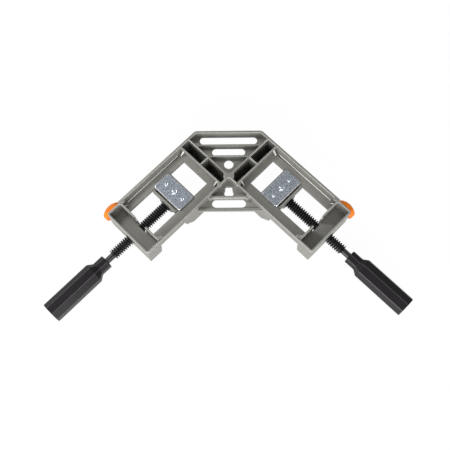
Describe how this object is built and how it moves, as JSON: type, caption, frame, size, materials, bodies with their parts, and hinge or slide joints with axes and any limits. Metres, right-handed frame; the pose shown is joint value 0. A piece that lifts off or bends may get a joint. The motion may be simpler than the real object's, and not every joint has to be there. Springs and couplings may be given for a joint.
{
  "type": "corner clamp",
  "caption": "Right-angle corner clamp: ribbed cast frame with hollow fences, screw-driven sliding jaws, push-button quick release and faceted handles.",
  "frame": {"origin": "the work corner, where the two fence faces would meet, on the flat work side of the base plate", "axes": "+Z to the bench side, which faces up as in the picture: the clamp lies on its fences and end housings. The left arm runs along -X, the right arm along -Y, and the web lies between +X and +Y. For use it is turned over, with the rim on the bench."},
  "size_m": [0.2845, 0.2804, 0.035],
  "materials": {
    "casting": "matt grey coat",
    "zinc_plate": "bright zinc plated",
    "rivet_steel": "zinc plated",
    "black_steel": "blackened",
    "grip_plastic": "moulded",
    "nut_steel": "blackened",
    "button_plastic": "moulded",
    "spring_steel": "drawn wire"
  },
  "bodies": {
    "frame": {"frame": "casting", "left_release_spring": "spring_steel", "right_release_spring": "spring_steel"},
    "left_jaw": {"left_jaw": "casting", "left_retainer_plate": "zinc_plate", "left_centre_rivet": "rivet_steel", "left_side_rivets": "rivet_steel", "left_spindle_keeper": "rivet_steel"},
    "left_spindle": {"left_spindle": "black_steel", "left_grip": "grip_plastic"},
    "left_release": {"left_half_nut": "nut_steel", "left_release_button": "button_plastic"},
    "right_jaw": {"right_jaw": "casting", "right_retainer_plate": "zinc_plate", "right_centre_rivet": "rivet_steel", "right_side_rivets": "rivet_steel", "right_spindle_keeper": "rivet_steel"},
    "right_spindle": {"right_spindle": "black_steel", "right_grip": "grip_plastic"},
    "right_release": {"right_half_nut": "nut_steel", "right_release_button": "button_plastic"}
  },
  "joints": [
    {"name": "left_jaw_slide", "type": "slide", "parent": "frame", "child": "left_jaw", "axis": [1, 0, 0], "range_m": [-0.031, 0.0235]},
    {"name": "left_spindle_turn", "type": "hinge", "parent": "left_jaw", "child": "left_spindle", "pos_m": [-0.11, 0.0413, -0.0113], "axis": [1, 0, 0], "range_deg": [-4465, 3385]},
    {"name": "left_release_press", "type": "slide", "parent": "frame", "child": "left_release", "axis": [0, -1, 0], "range_m": [0, 0.003], "stiffness_N_per_m": 600, "springref_m": -0.004, "deforming": ["left_release_spring"]},
    {"name": "right_jaw_slide", "type": "slide", "parent": "frame", "child": "right_jaw", "axis": [0, 1, 0], "range_m": [-0.035, 0.0194]},
    {"name": "right_spindle_turn", "type": "hinge", "parent": "right_jaw", "child": "right_spindle", "pos_m": [0.0413, -0.11, -0.0113], "axis": [0, 1, 0], "range_deg": [-5041, 2794.6]},
    {"name": "right_release_press", "type": "slide", "parent": "frame", "child": "right_release", "axis": [-1, 0, 0], "range_m": [0, 0.003], "stiffness_N_per_m": 600, "springref_m": -0.004, "deforming": ["right_release_spring"]}
  ],
  "couplings": [
    {"joint": "left_spindle_turn", "follows": "left_jaw_slide", "rad_per_m": 2513.3},
    {"joint": "right_spindle_turn", "follows": "right_jaw_slide", "rad_per_m": 2513.3}
  ]
}
